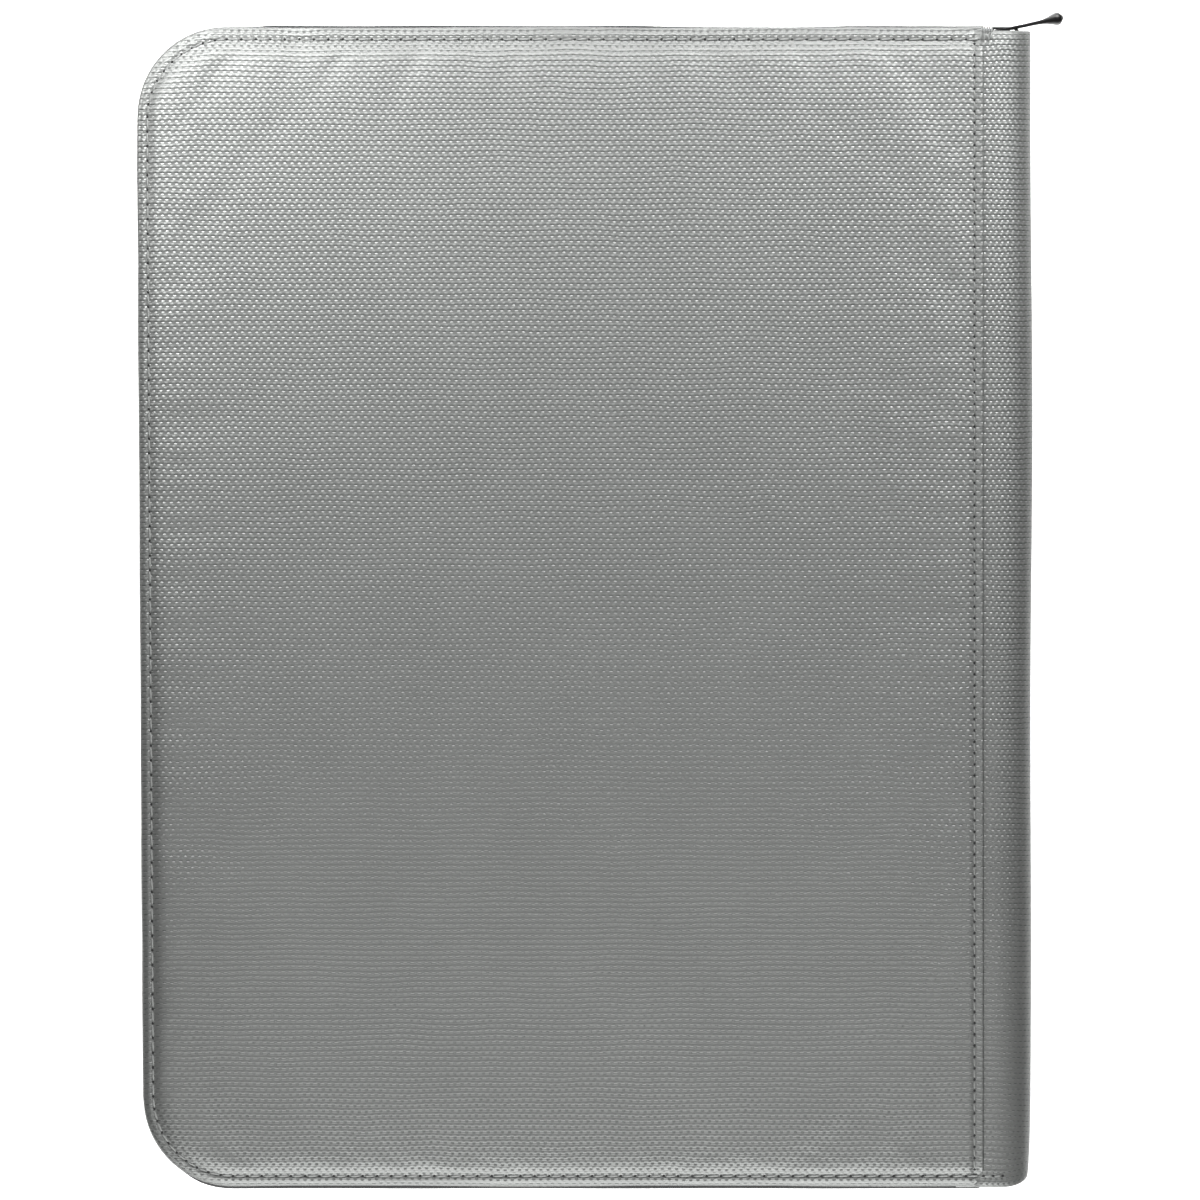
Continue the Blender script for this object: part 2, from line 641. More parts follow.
def strip_object(name, side, material):
    """Half of the spine strip, with its ends turned in at the head and the tail."""
    x, z, nx, nz = strip_path()
    run = STRIP_CUT * np.concatenate([[0], np.cumsum(np.hypot(np.diff(x), np.diff(z)))])
    depth = np.interp(x, [LAP_X, COVER_RIGHT, SPINE_X - 2], [4.0, 4.0, 1.0])
    turned = np.clip((x - SPINE_X + TAIL_CORNER_X) / TAIL_CORNER_X, 0, 1)
    corner = TAIL_CORNER_Y * (1 - np.sqrt(1 - turned ** 2)) - TAIL_REACH
    under_cover = 1 - ramp(x, LAP_X + 5, LAP_X + 8)

    def row(level, sink):
        from_tail, from_head, from_end = HALF_H + level, HALF_H - level, HALF_H - abs(level)
        bow = SPINE_BOW * np.sin(level / 37) * np.sin(level / 90 + 1)
        tuck = TUCK * np.clip(1 - from_tail / TUCK_LONG, 0, 1) ** 2
        lump = LUMP * hump(x - PINCH_X, 1.8) * ramp(from_head, 4, 1)
        dent = DENT * hump(x - PINCH_X - DENT_IN, 1.1) * hump(from_head - DENT_DOWN, 1.0)
        hem = HEM_LINE * hump(from_end - HEM_LINE_IN, 0.5) + FLAP_DIP * under_cover * ramp(from_end, 16, 8)
        px = x - (sink - bow + tuck) * nx
        pz = z - (sink + dent + hem) * nz
        py = level + lump + ramp(from_tail, *TAIL_TURN) * corner
        return np.stack([px, py, pz if side > 0 else THICK - pz], -1)

    levels = strip_levels(depth)
    grid = np.array([row(level, sink) for level, sink, _ in levels])
    shape = grid.shape[:2]
    across = np.broadcast_to(SEAM_X + run, shape)
    along = np.broadcast_to(np.array([place for _, _, place in levels])[:, None], shape)
    patch = Patchwork()
    patch.span(patch.add(grid, np.stack([across, along], -1)))
    return patch.build(name, [material], side)


# Section of the lining in the groove beside the spine: x and z
HINGE_SECTION = np.array([
    (LAP_X, 38.15), (120, 38.15), (124, 38.2), (126.5, 38.4), (128.2, 38.7), (129.6, 38.6), (130.7, 38.0),
    (131.5, 37.0), (131.8, 36.0), (131.9, 34.0), (131.9, MID_Z)
])
HINGE_END = 7.5
HINGE_ROWS = 120


def hinge_lining(name, side, material):
    """Half of the lining that bridges the groove between the spine and a cover."""
    x, z = HINGE_SECTION.T
    y = np.linspace(-HALF_H + HINGE_END, HALF_H - HINGE_END, HINGE_ROWS)
    gx, gy = np.meshgrid(x, y)
    depth = np.broadcast_to(z if side > 0 else THICK - z, gx.shape)
    patch = Patchwork()
    patch.span(patch.add(np.stack([gx, gy, depth], -1), np.stack([gx, gy], -1)), flip=True)
    return patch.build(name, [material], side)


LINING_INSET = TAPE_INSET + TAPE_T + 0.3
LINING_STEP, LINING_COLUMNS = 5.0, 52
LINING_ROUND, LINING_ROUND_W = 0.5, 3.0   # the lining's edge is rounded by this much, over this width
LINING_SKIRT = 1.2


def lining_object(name, side, material):
    """Lining of a cover: a sheet over the board whose edge turns down to meet the tape."""
    rows, left = rounded_rows(LINING_INSET, LINING_STEP)
    across = np.linspace(0, 1, LINING_COLUMNS)
    x = left[:, None] + (COVER_RIGHT - 0.3 - left[:, None]) * across
    y = np.broadcast_to(rows[:, None], x.shape)
    edge = smooth((inset_of(x, y) - LINING_INSET) / LINING_ROUND_W)
    patch = Patchwork()
    sheet = patch.add(on_cover(x, y, LINING_ROUND * (1 - edge) - COVER_T, side), np.stack([x, y], -1))
    patch.span(sheet, flip=True)
    rim = np.concatenate([sheet[-1, ::-1], sheet[-2:0:-1, 0], sheet[0, :], sheet[1:-1, -1], sheet[-1:, -1]])
    skirt = patch.add(patch.all_points()[rim][None] + np.array([0, 0, side * LINING_SKIRT]), (0, 0))
    patch.span(np.concatenate([rim[None], skirt]))
    return patch.build(name, [material], side)


# ---------- zip ----------
# Section of the tape on the front cover: height above its outer face, and inset from the edge
TAPE_SECTION = np.array([
    (4.4, 2.6), (4.5, 1.6), (4.9, 0.5), (5.6, -0.35), (6.6, -0.8), (7.8, -0.7), (9.2, 0.0), (11.0, 1.3),
    (13.0, 2.8), (15.0, 4.0), (17.0, 4.6), (19.0, TAPE_INSET), (21.3, TAPE_INSET)
])
TAPE_STEP = 2.5
TAPE_CUT_RISE = 8.6                       # how far the tape's end is cut away beside the spine
TAPE_STRAIGHT = (SPINE_X - 16, SPINE_X - 8)
TAPE_SLACK, TAPE_BULGE = 0.2, 1.1         # share of the section's bulge where the tape is flat and full
TAPE_RIPPLE = 0.12
# Where along the head and the tail the tape bulges out past the rim
HEAD_BULGE, HEAD_BULGE_FROM, HEAD_BULGE_TO = 0.45, (-102, -94), (12, 34)
SPINE_BULGE, SPINE_BULGE_FROM = 0.8, (62, 84)
TAIL_BULGE, TAIL_BULGE_FROM = 0.8, (-126, -116)

TOOTH_PITCH = 1.5
TOOTH_SIDES = 6
TOOTH_ALONG, TOOTH_OUT, TOOTH_SHEAR = 0.42, 0.3, 0.25
COIL_STITCH_R, COIL_STITCH_GAP, COIL_STITCH_UP = 0.24, 0.06, 1.3


def edge_line(inset, right, step, shift=0.0):
    """Points along the three free edges at one inset, head to tail, and the outward direction at each."""
    x0, y0 = FORE_X + CORNER_R, HALF_H - CORNER_R
    head = np.arange(shift, right - x0, step)
    turn = np.linspace(0, math.pi / 2, round(CORNER_R * math.pi / 2 / step) + 1)[1:]
    side = np.linspace(y0, -y0, round(2 * y0 / step) + 1)[1:]
    r = CORNER_R - inset
    top = HALF_H - inset
    flat = np.ones(len(head))
    x = np.concatenate([right - head, x0 - r * np.sin(turn), np.full(len(side), FORE_X + inset),
                        x0 - r * np.cos(turn), (right - head)[::-1]])
    y = np.concatenate([top * flat, y0 + r * np.cos(turn), side, -y0 - r * np.sin(turn), -top * flat])
    nx = np.concatenate([0 * flat, -np.sin(turn), -np.ones(len(side)), -np.cos(turn), 0 * flat])
    ny = np.concatenate([flat, np.cos(turn), 0 * side, -np.sin(turn), -flat])
    return x, y, nx, ny


def tape_bulge(x, y):
    """How much of its bulge the tape shows at each point along the edges."""
    head = HEAD_BULGE * (ramp(x, *HEAD_BULGE_FROM) * (1 - ramp(x, *HEAD_BULGE_TO))
                         + SPINE_BULGE * ramp(x, *SPINE_BULGE_FROM))
    tail = TAIL_BULGE * ramp(x, *TAIL_BULGE_FROM)
    return np.where(y > 0, head, tail) * (np.abs(y) > HALF_H - CORNER_R)


def tape_object(name, side, material):
    """Tape wall from the sewn flange, bulging out under the rim and then in to the coil, with both faces."""
    x, y, nx, ny = edge_line(0.0, TAPE_END_X, TAPE_STEP)
    height, inset = TAPE_SECTION.T
    start = np.interp(x, [SPINE_X - 8, TAPE_END_X], [0, TAPE_CUT_RISE])[:, None]
    share = (height - height[0]) / (height[-1] - height[0])
    level = height[0] + start + (height[-1] - height[0] - start) * share
    straight = ramp(x, *TAPE_STRAIGHT)
    bulge = (tape_bulge(x, y) * (1 - straight))[:, None]
    wall = np.interp(level, height, inset)
    wall = np.where(wall < 0, wall * (TAPE_SLACK + TAPE_BULGE * bulge), wall)
    wall = wall + (TAPE_INSET - wall) * straight[:, None]
    wall = wall + TAPE_RIPPLE * np.sin(np.arange(len(x)) / 4)[:, None] * np.sin(math.pi * share)
    run = np.broadcast_to(np.arange(len(x))[:, None] * TAPE_STEP, level.shape)
    patch = Patchwork()

    def face(inward):
        px = x[:, None] - nx[:, None] * (wall + inward)
        py = y[:, None] - ny[:, None] * (wall + inward)
        z = level if side < 0 else THICK - level
        return patch.add(lean(np.stack([px, py, z], -1)), np.stack([run, level], -1))

    outer, inner = face(0.0), face(TAPE_T)
    patch.span(outer, flip=True)
    patch.span(inner)
    patch.span(np.stack([outer[:, -1], inner[:, -1]]))
    patch.span(np.stack([inner[:, 0], outer[:, 0]]))
    patch.span(np.stack([inner[0, :], outer[0, :]], -1))
    patch.span(np.stack([outer[-1, :], inner[-1, :]], -1))
    return patch.build(name, [material], -side)


def tooth(place, out, along, section, side):
    """Points of one bent tooth of the coil."""
    around = np.linspace(0, 2 * math.pi, TOOTH_SIDES, endpoint=False)
    rings = []
    for (reach, offset), shear in zip(section, np.linspace(-TOOTH_SHEAR, TOOTH_SHEAR, len(section))):
        centre = place + (0, 0, -side * reach) + out * offset + along * shear
        radial = out if abs(reach) > 0.3 else np.array([0, 0, 1.0])
        rings.append(centre + TOOTH_ALONG * np.cos(around)[:, None] * along
                     + TOOTH_OUT * np.sin(around)[:, None] * radial)
    return lean(np.concatenate(rings))


def coil_object(name, side, materials):
    """Spiral coil along the tape: a bent tooth every pitch, and the row of stitches that holds them."""
    shift = 0.0 if side < 0 else TOOTH_PITCH / 2
    x, y, nx, ny = edge_line(TAPE_INSET - COIL_T / 2, COIL_END_X, TOOTH_PITCH, shift)
    base = MID_Z + side * COIL_GAP
    deep = COIL_T / 2 - 0.12
    # Reach of the tooth past the edge of the tape, and its distance from the middle of the coil
    section = [(-COIL_W, -deep), (-COIL_W * 0.5, -deep - 0.02), (-0.2, -deep * 0.75), (0.45, -deep * 0.35),
               (0.45, deep * 0.35), (-0.2, deep * 0.75), (-COIL_W * 0.5, deep), (-COIL_W, deep)]
    faces = tube_faces(len(section), TOOTH_SIDES)
    parts = []
    for px, py, ox, oy in zip(x, y, nx, ny):
        out, along = np.array([ox, oy, 0.0]), np.array([-oy, ox, 0.0])
        parts.append((tooth(np.array([px, py, base]), out, along, section, side), faces, 0))
    far = deep + 0.05
    line = lean(np.stack([x + nx * far, y + ny * far, np.full(len(x), base + side * COIL_STITCH_UP)], -1))
    for a, b in zip(line[:-2:2], line[2::2]):
        gap = (b - a) * COIL_STITCH_GAP
        parts.append((*capsule(a + gap, b - gap, COIL_STITCH_R, (0, 0, 1), 1, 3, 5), 1))
    return make_merged(name, parts, materials)


def bevelled(outline, low, high, bevel, axis="y"):
    """Points and faces of a plate with rounded edges: an outline pushed from low to high along y or z."""
    mesh = bmesh.new()

    def place(a, b, c):
        return (a, c, b) if axis == "y" else (a, b, c)

    bottom = mesh.faces.new([mesh.verts.new(place(a, b, low)) for a, b in outline])
    top = bmesh.ops.extrude_face_region(mesh, geom=[bottom])["geom"]
    moved = [v for v in top if isinstance(v, bmesh.types.BMVert)]
    bmesh.ops.translate(mesh, verts=moved, vec=place(0.0, 0.0, high - low))
    bmesh.ops.recalc_face_normals(mesh, faces=mesh.faces)
    if bevel:
        bmesh.ops.bevel(mesh, geom=list(mesh.edges), offset=bevel, segments=2, affect="EDGES", profile=0.6)
    mesh.verts.index_update()
    points = np.array([v.co for v in mesh.verts])
    faces = [[v.index for v in face.verts] for face in mesh.faces]
    mesh.free()
    return points, faces


def arc_points(centre, radius, first, last, count, endpoint=True):
    """Points of an arc between two angles."""
    angles = np.linspace(first, last, count, endpoint=endpoint)
    return [(centre[0] + radius * math.cos(a), centre[1] + radius * math.sin(a)) for a in angles]


def rounded_rect(x0, x1, y0, y1, r, corner_points=3):
    centres = ((x1 - r, y1 - r), (x0 + r, y1 - r), (x0 + r, y0 + r), (x1 - r, y0 + r))
    outline = []
    for quarter, centre in enumerate(centres):
        first = quarter * math.pi / 2
        outline += arc_points(centre, r, first, first + math.pi / 2, corner_points)
    return outline


# Half outline of a slider plate: distance from its narrow end, and share of the half width
PLATE_FLANK = [
    (0.5, 0.74), (3.5, 0.74), (6.5, 1.0), (SLIDER_L - 1.2, 1.0), (SLIDER_L - 0.3, 0.72), (SLIDER_L, 0.3)
]
PLATE_NOTCH = SLIDER_L - 0.9
PLATE_END = 0.5
PLATE_BEVEL = 0.28
WEDGE_FROM, WEDGE_TO, WEDGE_HALF = SLIDER_L - 2.8, SLIDER_L - 0.4, 0.3
LIP_FROM, LIP_TO, LIP_W, LIP_INSET = 6.4, SLIDER_L - 1.3, 0.7, 0.05
# The guide lips: height of the lower end, and length
LIPS = ((OUTER_PLATE_Y - 1.1, 1.4), (INNER_PLATE_Y + 0.7, 0.6))
BAIL_X = SLIDER_X + 0.6
BAIL_Y = OUTER_PLATE_Y + PLATE_T
BAIL_L, BAIL_OPEN, BAIL_LEG, BAIL_WIRE = 8.9, 1.5, 1.2, 0.7
BAIL_HALF_W, BAIL_ROOT, BAIL_BEVEL = 0.8, 0.3, 0.18
PIVOT = (BAIL_X + 2.05, BAIL_Y + BAIL_OPEN / 2, MID_Z)


def bail_arch():
    """Side outline of the bail: two legs and the wire between them."""
    foot, under = BAIL_Y - BAIL_ROOT, BAIL_Y + BAIL_OPEN
    inside = [(0, foot), (BAIL_LEG, foot), (BAIL_LEG, under - 0.4), (BAIL_LEG + 0.4, under)]
    outside = [(0, under - 0.3), (0.9, under + BAIL_WIRE)]
    far = [(BAIL_X + BAIL_L - a, b) for a, b in inside[::-1] + outside]
    return [(BAIL_X + a, b) for a, b in inside] + far + [(BAIL_X + a, b) for a, b in outside[::-1]]


def slider_object(name, material):
    """Two waisted plates, the wedge between them, guide lips on the front tape's side, and the bail."""
    half = SLIDER_W / 2
    flank = [(SLIDER_X + a, half * share) for a, share in PLATE_FLANK]
    shape = [(a, MID_Z - b) for a, b in flank] + [(SLIDER_X + PLATE_NOTCH, MID_Z)]
    shape += [(a, MID_Z + b) for a, b in flank[::-1]]
    shape += [(SLIDER_X, MID_Z + half * PLATE_END), (SLIDER_X, MID_Z - half * PLATE_END)]
    parts = [bevelled(shape, low, low + PLATE_T, PLATE_BEVEL) for low in (OUTER_PLATE_Y, INNER_PLATE_Y)]
    x0, x1 = SLIDER_X + WEDGE_FROM, SLIDER_X + WEDGE_TO
    z0, z1 = MID_Z - WEDGE_HALF, MID_Z + WEDGE_HALF
    wedge = [(x0, z0), (x1, z0), (x1, z1), (x0, z1)]
    parts.append(bevelled(wedge, INNER_PLATE_Y + PLATE_T / 2, OUTER_PLATE_Y + PLATE_T / 2, 0.1))
    z0 = MID_Z - half + LIP_INSET
    lip = rounded_rect(SLIDER_X + LIP_FROM, SLIDER_X + LIP_TO, z0, z0 + LIP_W, 0.2)
    parts += [bevelled(lip, low, low + long, 0.12) for low, long in LIPS]
    parts.append(bevelled(bail_arch(), MID_Z - BAIL_HALF_W, MID_Z + BAIL_HALF_W, BAIL_BEVEL, "z"))
    return make_merged(name, [(points, faces, 0) for points, faces in parts], [material])


PULL_L = 20.9
PULL_ANGLE = math.radians(12.0)
# Distance from the pivot, half thickness at the middle, half thickness at the sides, half width
PULL_STATIONS = [
    (7.2, 0.5, 0.5, 2.4), (9.5, 0.52, 0.52, 2.6), (12.0, 0.55, 0.53, 2.9), (14.0, 0.66, 0.6, 3.2),
    (15.6, 1.02, 0.7, 3.4), (17.0, 1.5, 0.86, 3.5), (18.3, 1.9, 1.02, 3.45), (19.1, 2.0, 1.15, 3.3),
    (19.7, 1.75, 1.15, 3.1), (20.2, 1.2, 0.9, 2.7), (20.6, 0.55, 0.42, 2.2), (PULL_L, 0.12, 0.1, 1.8)
]
# Facets from a side to the middle: share of the half width, and of the swell from side to middle
FACETS = ((0.97, 0.0), (0.62, 0.55), (0.3, 0.97))
SIDE_BEVEL = 0.86
EYE_W, EYE_IN = 2.4, 1.2
BOSS_R, ARM_FROM, ARM_TO, ARM_HALF_T = 0.7, 2.6, 7.6, 0.5
PIN_R, PIN_HALF = 0.45, 2.3


def pull_tab():
    """The neck and the bulb of the pull, as rings of points."""
    rings = []
    for x, mid, edge, wide in PULL_STATIONS:
        flank = [(wide, SIDE_BEVEL * edge)]
        flank += [(wide * out, edge + rise * (mid - edge)) for out, rise in FACETS]
        half = flank + [(0, mid)] + [(-w, t) for w, t in flank[::-1]]
        rings += [(x, -t, w) for w, t in half] + [(x, t, w) for w, t in half[::-1]]
    return np.array(rings), tube_faces(len(PULL_STATIONS), len(rings) // len(PULL_STATIONS))


def pull_object(name, material):
    """Pull: an eye of two arms on a pin, a thin neck, and a tab that swells to a faceted bulb."""
    parts = [pull_tab()]
    boss = arc_points((0, 0), BOSS_R, math.pi * 0.4, math.pi * 1.6, 9)
    arm = [(ARM_FROM, ARM_HALF_T), *boss, (ARM_FROM, -ARM_HALF_T)]
    arm += [(ARM_TO, -ARM_HALF_T), (ARM_TO, ARM_HALF_T)]
    parts += [bevelled(arm, low, low + EYE_W - EYE_IN, 0.1, "z") for low in (EYE_IN, -EYE_W)]
    pin = arc_points((0, 0), PIN_R, 0, 2 * math.pi, 14, endpoint=False)
    parts.append(bevelled(pin, -PIN_HALF, PIN_HALF, 0.0, "z"))
    c, s = math.cos(PULL_ANGLE), math.sin(PULL_ANGLE)
    turn = np.array([(c, -s, 0), (s, c, 0), (0, 0, 1)])
    return make_merged(name, [(points @ turn.T + PIVOT, faces, 0) for points, faces in parts], [material])


# ---------- leaves ----------
# Places of the mesh lines across and down a pocket, closest together at its edges
POCKET_COLUMNS = np.array([0, 0.5, 1.6, 4, 10, 22, 34, 46, 58, 64, 67, 68])
POCKET_ROWS = np.array([0, 1, 3.5, 9, 20, 46.5, 73, 84, 89.5, 92, 93])
MARGIN_COLUMNS = [0.0, 6, 12, MARGIN_W - 0.4]
FLAT_HALF_T = 0.27    # half thickness of a leaf at its welds
POCKET_RISE = 0.32
POCKET_SLOPE_X, POCKET_SLOPE_Y = 3.0, 4.0


def pocket_share(place, pitch, long, slope):
    """0 on the welds and at the edges of a pocket, 1 where it is full."""
    inside = place % pitch
    return np.clip(np.minimum(inside, long - inside) / slope, 0, 1)


def leaf_mesh(materials):
    """One leaf lying at z = 0: a plain margin, then nine puffed pockets on each face, welded between."""
    pitch_x, pitch_y = POCKET_W + WELD_W, POCKET_H + WELD_W
    half = (3 * POCKET_H + 4 * WELD_W) / 2
    columns = [MARGIN_W + c * pitch_x + POCKET_COLUMNS for c in range(3)]
    x = np.unique(np.concatenate([MARGIN_COLUMNS, *columns, [MARGIN_W + 3 * pitch_x - 0.1]]))
    rows = [-half + WELD_W + r * pitch_y + POCKET_ROWS for r in range(3)]
    y = np.unique(np.concatenate([[-half, half], *rows]))
    gx, gy = np.meshgrid(x, y)
    inside_x = pocket_share(gx - MARGIN_W, pitch_x, POCKET_W, POCKET_SLOPE_X)
    inside_y = pocket_share(gy + half - WELD_W, pitch_y, POCKET_H, POCKET_SLOPE_Y)
    pocket = np.minimum(FLAT_HALF_T + POCKET_RISE * np.sqrt(inside_x * inside_y), LEAF_T / 2)
    body = np.where(gx < MARGIN_W, MARGIN_T / 2, pocket)
    patch = Patchwork()
    top, bottom = [
        patch.add(np.stack([LEAF_X - gx, gy, sign * body], -1), np.stack([gx, gy], -1)) for sign in (1, -1)]
    patch.span(top, flip=True)
    patch.span(bottom)
    for row, turn in ((0, 1), (-1, -1)):
        patch.span(np.stack([top[row], bottom[row]])[::turn])
        patch.span(np.stack([top[:, row], bottom[:, row]], -1)[:, ::turn])
    return patch.build("page_pattern", materials)


# ---------- materials ----------
class Shade:
    """A Principled material and the nodes that drive it."""

    def __init__(self, name, color, roughness, metallic=0.0, **sockets):
        self.material = bpy.data.materials.new(name)
        self.material.use_nodes = True
        self.tree = self.material.node_tree
        self.shader = self.tree.nodes["Principled BSDF"]
        self.shader.inputs["Base Color"].default_value = (*color, 1)
        self.shader.inputs["Roughness"].default_value = roughness
        self.shader.inputs["Metallic"].default_value = metallic
        for socket, value in sockets.items():
            self.shader.inputs[socket.replace("_", " ")].default_value = value

    def feed(self, socket, value):
        if isinstance(value, bpy.types.NodeSocket):
            self.tree.links.new(value, socket)
        else:
            socket.default_value = value

    def math(self, operation, *values):
        node = self.tree.nodes.new("ShaderNodeMath")
        node.operation = operation
        for socket, value in zip(node.inputs, values):
            self.feed(socket, value)
        return node.outputs[0]

    def plus(self, a, b):
        return self.math("ADD", a, b)

    def minus(self, a, b):
        return self.math("SUBTRACT", a, b)

    def times(self, a, b):
        return self.math("MULTIPLY", a, b)

    def over(self, a, b):
        return self.math("DIVIDE", a, b)

    def centred(self, value):
        """Place in the unit cell that a value falls in, from -0.5 to 0.5."""
        return self.minus(self.math("FRACT", value), 0.5)

    def step(self, value, low, high, at_low=0.0, at_high=1.0):
        node = self.tree.nodes.new("ShaderNodeMapRange")
        node.interpolation_type = "SMOOTHSTEP"
        for socket, number in zip(node.inputs, (value, low, high, at_low, at_high)):
            self.feed(socket, number)
        return node.outputs[0]

    def mix(self, share, low, high):
        node = self.tree.nodes.new("ShaderNodeMix")
        node.data_type = "RGBA"
        self.feed(node.inputs[0], share)
        self.feed(node.inputs[6], (*low, 1) if isinstance(low, tuple) else low)
        self.feed(node.inputs[7], (*high, 1) if isinstance(high, tuple) else high)
        return node.outputs[2]

    def noise(self, vector, scale, detail=2.0):
        node = self.tree.nodes.new("ShaderNodeTexNoise")
        self.tree.links.new(vector, node.inputs["Vector"])
        node.inputs["Scale"].default_value = scale
        node.inputs["Detail"].default_value = detail
        return node.outputs[0]

    def cloth_place(self):
        """Place on the cut cloth in millimetres: the vector, its x and its y."""
        uv = self.tree.nodes.new("ShaderNodeUVMap")
        uv.uv_map = "Cloth"
        split = self.tree.nodes.new("ShaderNodeSeparateXYZ")
        self.tree.links.new(uv.outputs[0], split.inputs[0])
        return uv.outputs[0], split.outputs[0], split.outputs[1]

    def bump(self, height, distance):
        node = self.tree.nodes.new("ShaderNodeBump")
        node.inputs["Distance"].default_value = distance
        self.tree.links.new(height, node.inputs["Height"])
        self.tree.links.new(node.outputs[0], self.shader.inputs["Normal"])

    def vector(self, operation, *values):
        node = self.tree.nodes.new("ShaderNodeVectorMath")
        node.operation = operation
        sockets = [node.inputs[0], node.inputs["Scale"] if operation == "SCALE" else node.inputs[1]]
        for socket, value in zip(sockets, values):
            self.feed(socket, value)
        return node.outputs[0]

    def tilt(self, along_u, along_v):
        """Tilts the surface normal by slopes along the x and the y of the cut cloth."""
        geometry = self.tree.nodes.new("ShaderNodeNewGeometry")
        tangent = self.tree.nodes.new("ShaderNodeTangent")
        tangent.direction_type = "UV_MAP"
        tangent.uv_map = "Cloth"
        normal = geometry.outputs["Normal"]
        across = self.vector("CROSS_PRODUCT", normal, tangent.outputs[0])
        leaning = self.vector("ADD", normal, self.vector("SCALE", tangent.outputs[0], along_u))
        leaning = self.vector("ADD", leaning, self.vector("SCALE", across, along_v))
        self.tree.links.new(self.vector("NORMALIZE", leaning), self.shader.inputs["Normal"])


ROW_PITCH = 0.8       # distance between the rows of the weave
FLOAT_PITCH = 2.18    # distance between the floats in one row
ROW_WANDER = 1.6      # how far the rows wander over the cloth, and the scale of that
ROW_WANDER_SCALE = 0.05
# The four rows of a repeat start at 0, 0.61, 0.37 and 0.76 of a float's pitch
ODD_START, LATE_START, LATE_ODD = 0.61, 0.37, 0.22
ODD_FADE = 0.45       # how much weaker the floats of every second row are

# Ovals of a float's cell: offset from the middle of its row in row pitches, half length, half height
FLOAT_OVAL = (-0.06, 0.55, 0.3)
PIT_OVAL = (0.4, 0.6, 0.24)
OVAL_CORE, OVAL_EDGE = 0.7, 1.15
LINE_AT, LINE_CORE, LINE_EDGE = 0.36, 0.06, 0.2

LINE_SLOPE = 0.5      # how far the ground leans to the tail in the line below every second row
GROUND_LEAN = 0.06    # how far the ground leans to the head elsewhere
GROUND_ROUND = 0.4    # how much that changes across a row
FLOAT_LEAN = 0.395    # how far the floats lean to the head
FLOAT_ROUND_V, FLOAT_ROUND_U = 0.12, 0.12

GROUND_SCALE = 0.03
GROUND_LOW = (0.148, 0.152, 0.148)
GROUND_HIGH = (0.174, 0.179, 0.174)
FLOAT_TONE = (0.16, 0.165, 0.16)
GAP_TONE, GAP_SHARE = (0.08, 0.083, 0.08), 0.28
PIT_TONE, PIT_SHARE = (0.02, 0.021, 0.02), 0.75
GROUND_ROUGHNESS, FLOAT_ROUGHNESS = 0.5, 0.45


def silver_weave():
    """Coated glass-like cloth: rows of short raised floats, each row shifted against the last.

    Every second row has a pit behind each float and a thin dark line below it.
    """
    shade = Shade("silver_weave", FLOAT_TONE, GROUND_ROUGHNESS, metallic=0.7)
    place, u, v = shade.cloth_place()
    wander = shade.times(shade.noise(place, ROW_WANDER_SCALE), ROW_WANDER)
    rows = shade.over(shade.plus(v, wander), ROW_PITCH)
    row = shade.math("FLOOR", rows)
    fall = shade.centred(rows)
    odd = shade.math("FLOORED_MODULO", row, 2.0)
    even = shade.minus(1.0, odd)
    late = shade.math("FLOOR", shade.over(shade.math("FLOORED_MODULO", row, 4.0), 2.0))
    second = shade.minus(LATE_START, shade.times(odd, LATE_ODD))
    shift = shade.plus(shade.times(odd, ODD_START), shade.times(late, second))
    across = shade.centred(shade.plus(shade.over(u, FLOAT_PITCH), shift))

    def oval(offset, half_u, half_v):
        """How far inside an oval of a float's cell a point is, and its place in the oval each way."""
        x = shade.over(across, half_u / FLOAT_PITCH)
        y = shade.over(shade.minus(fall, offset), half_v / ROW_PITCH)
        far = shade.math("SQRT", shade.plus(shade.math("POWER", x, 2.0), shade.math("POWER", y, 2.0)))
        return shade.step(far, OVAL_CORE, OVAL_EDGE, 1.0, 0.0), x, y

    whole, raised_x, raised_y = oval(*FLOAT_OVAL)
    raised = shade.times(whole, shade.minus(1.0, shade.times(odd, ODD_FADE)))
    pit = shade.times(oval(*PIT_OVAL)[0], even)
    from_line = shade.math("ABSOLUTE", shade.minus(fall, LINE_AT))
    gap = shade.times(shade.step(from_line, LINE_CORE, LINE_EDGE, 1.0, 0.0), even)

    ground = shade.mix(shade.noise(place, GROUND_SCALE), GROUND_LOW, GROUND_HIGH)
    lined = shade.mix(shade.times(gap, GAP_SHARE), ground, GAP_TONE)
    pitted = shade.mix(shade.times(pit, PIT_SHARE), lined, PIT_TONE)
    shade.feed(shade.shader.inputs["Base Color"], shade.mix(raised, pitted, FLOAT_TONE))
    roughness = shade.step(raised, 0.0, 1.0, GROUND_ROUGHNESS, FLOAT_ROUGHNESS)
    shade.feed(shade.shader.inputs["Roughness"], roughness)

    crown = shade.plus(FLOAT_LEAN, shade.times(raised_y, FLOAT_ROUND_V))
    sag = shade.minus(shade.times(fall, GROUND_ROUND), shade.times(gap, LINE_SLOPE))
    sag = shade.plus(sag, GROUND_LEAN)
    plain = shade.minus(1.0, raised)
    slope_v = shade.plus(shade.times(raised, crown), shade.times(plain, sag))
    shade.tilt(shade.times(shade.times(raised, raised_x), FLOAT_ROUND_U), slope_v)
    return shade.material


RIB_DEPTH = 0.00005
CROSS_RIB = 0.8       # the ribs along the piece are this much closer than those across it


def dark_cloth(name, color, pitch, roughness):
    """Plain black cloth with a fine rib across the piece."""
    shade = Shade(name, color, roughness)
    _, u, v = shade.cloth_place()
    turn = 2 * math.pi / pitch
    ribs = shade.math("SINE", shade.times(u, turn))
    cross = shade.math("SINE", shade.times(v, turn * CROSS_RIB))
    shade.bump(shade.plus(ribs, cross), RIB_DEPTH)
    return shade.material


